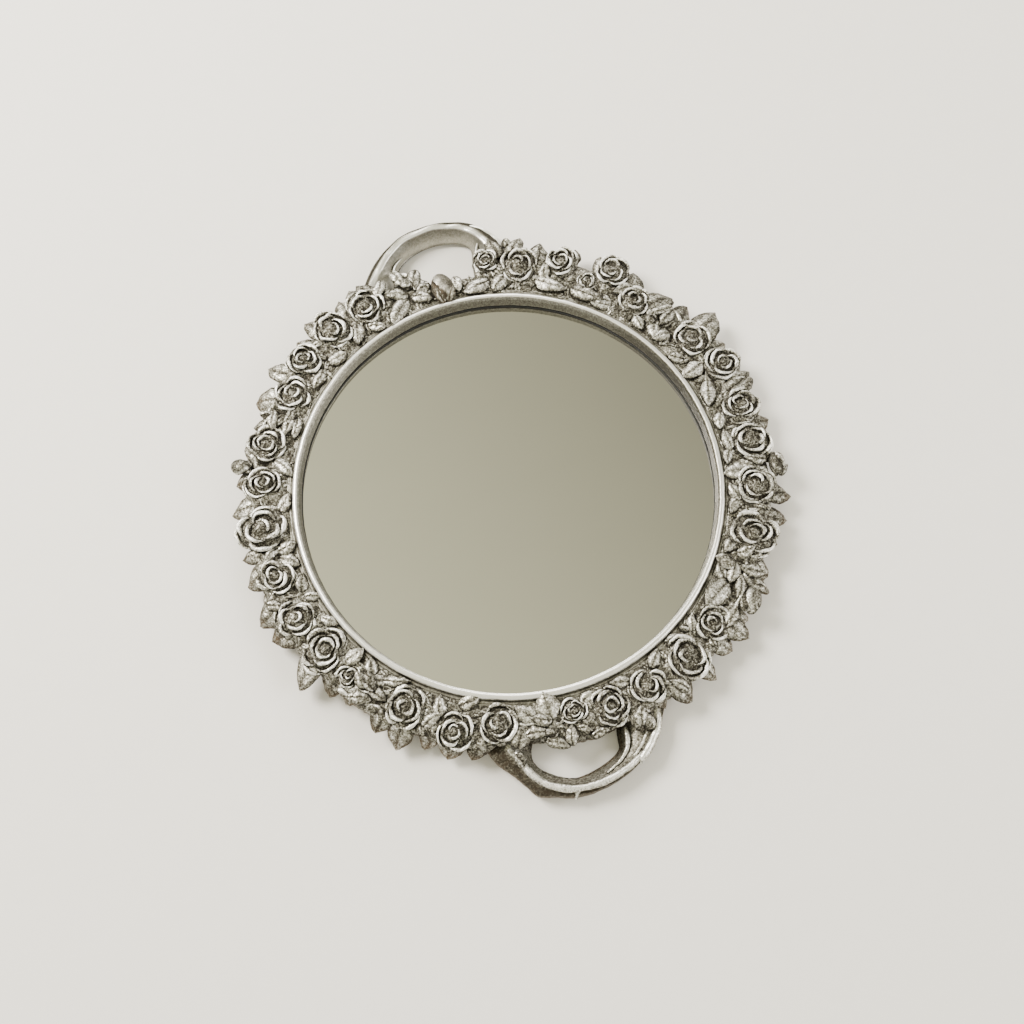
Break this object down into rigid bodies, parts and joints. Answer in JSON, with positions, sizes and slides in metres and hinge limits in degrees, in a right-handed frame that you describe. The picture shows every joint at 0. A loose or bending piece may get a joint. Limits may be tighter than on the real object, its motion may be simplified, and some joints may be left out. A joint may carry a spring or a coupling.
{
  "type": "hand mirror",
  "caption": "Round hand mirror framed by a wreath of antique-silver roses and leaves, with open loop handles on opposite sides and a backing board kept in by turn buttons.",
  "frame": {"origin": "on the ring's axis, in the plane that the mirror lies on", "axes": "+Z out of the mirror, +Y through the middle of the upper handle loop, +X to the right seen from the front"},
  "size_m": [0.4031, 0.453, 0.03],
  "materials": {
    "frame_silver": "satin",
    "rose_silver": "satin",
    "leaf_silver": "satin",
    "mirror": "polished",
    "tape": "matte",
    "board": "matte",
    "felt": "matte",
    "steel": "satin"
  },
  "bodies": {
    "frame": {"backing_board": "board", "bud_left": "rose_silver", "bud_lower_right": "rose_silver", "bud_right": "rose_silver", "bud_top": "rose_silver", "button_screw_1": "steel", "button_screw_2": "steel", "button_screw_3": "steel", "button_screw_4": "steel", "felt_ring": "felt", "frame_ring": "frame_silver", "glazing_tape": "tape", "leaf_garland_1": "leaf_silver", "leaf_garland_2": "leaf_silver", "leaf_garland_3": "leaf_silver", "leaf_garland_4": "leaf_silver", "leaf_garland_5": "leaf_silver", "leaf_garland_6": "leaf_silver", "leaf_garland_7": "leaf_silver", "leaf_garland_8": "leaf_silver", "leaf_garland_9": "leaf_silver", "lower_loop": "frame_silver", "mirror_glass": "mirror", "rose_01": "rose_silver", "rose_02": "rose_silver", "rose_03": "rose_silver", "rose_04": "rose_silver", "rose_05": "rose_silver", "rose_06": "rose_silver", "rose_07": "rose_silver", "rose_08": "rose_silver", "rose_09": "rose_silver", "rose_10": "rose_silver", "rose_11": "rose_silver", "rose_12": "rose_silver", "rose_13": "rose_silver", "rose_14": "rose_silver", "rose_15": "rose_silver", "rose_16": "rose_silver", "rose_17": "rose_silver", "rose_18": "rose_silver", "rose_19": "rose_silver", "rose_20": "rose_silver", "rose_21": "rose_silver", "rose_22": "rose_silver", "rose_23": "rose_silver", "rose_24": "rose_silver", "rose_25": "rose_silver", "rose_26": "rose_silver", "rose_27": "rose_silver", "rose_28": "rose_silver", "rose_29": "rose_silver", "rose_30": "rose_silver", "rose_31": "rose_silver", "upper_loop": "frame_silver"},
    "button_1": {"turn_button_1": "steel"},
    "button_2": {"turn_button_2": "steel"},
    "button_3": {"turn_button_3": "steel"},
    "button_4": {"turn_button_4": "steel"}
  },
  "joints": [
    {"name": "turn_button_1_pivot", "type": "hinge", "parent": "frame", "child": "button_1", "pos_m": [0.11349, 0.11349, 0.0034], "axis": [0, 0, 1], "range_deg": [-90, 90]},
    {"name": "turn_button_2_pivot", "type": "hinge", "parent": "frame", "child": "button_2", "pos_m": [-0.11349, 0.11349, 0.0034], "axis": [0, 0, 1], "range_deg": [-90, 90]},
    {"name": "turn_button_3_pivot", "type": "hinge", "parent": "frame", "child": "button_3", "pos_m": [-0.11349, -0.11349, 0.0034], "axis": [0, 0, 1], "range_deg": [-90, 90]},
    {"name": "turn_button_4_pivot", "type": "hinge", "parent": "frame", "child": "button_4", "pos_m": [0.11349, -0.11349, 0.0034], "axis": [0, 0, 1], "range_deg": [-90, 90]}
  ]
}
